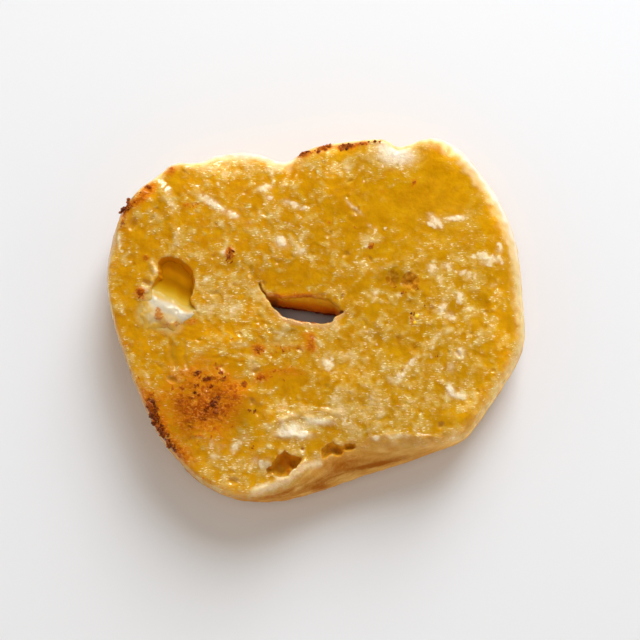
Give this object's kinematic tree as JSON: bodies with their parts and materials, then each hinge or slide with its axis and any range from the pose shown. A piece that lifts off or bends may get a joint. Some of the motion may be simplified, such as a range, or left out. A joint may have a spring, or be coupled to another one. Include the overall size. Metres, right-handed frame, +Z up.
{
  "type": "buttered toasted bagel half",
  "caption": "Toasted bagel half lying on its crust, cut face up, buttered, with its hole squeezed to a slit and air pockets open in the crumb.",
  "frame": {"origin": "on the resting plane, under the middle of the bounding box", "axes": "+X along the longest way across, +Y across it towards the back edge, +Z up out of the cut face"},
  "size_m": [0.1042, 0.0912, 0.0199],
  "materials": {
    "bread": "toasted crumb soaked with melted butter, golden with browned spots and a thin wet gloss; pale tan baked crust round the side",
    "butter": "half-melted butter, cream to clear yellow, smooth and wet"
  },
  "bodies": {
    "root": {"bagel_half": "bread", "butter_pat": "butter"}
  },
  "joints": []
}
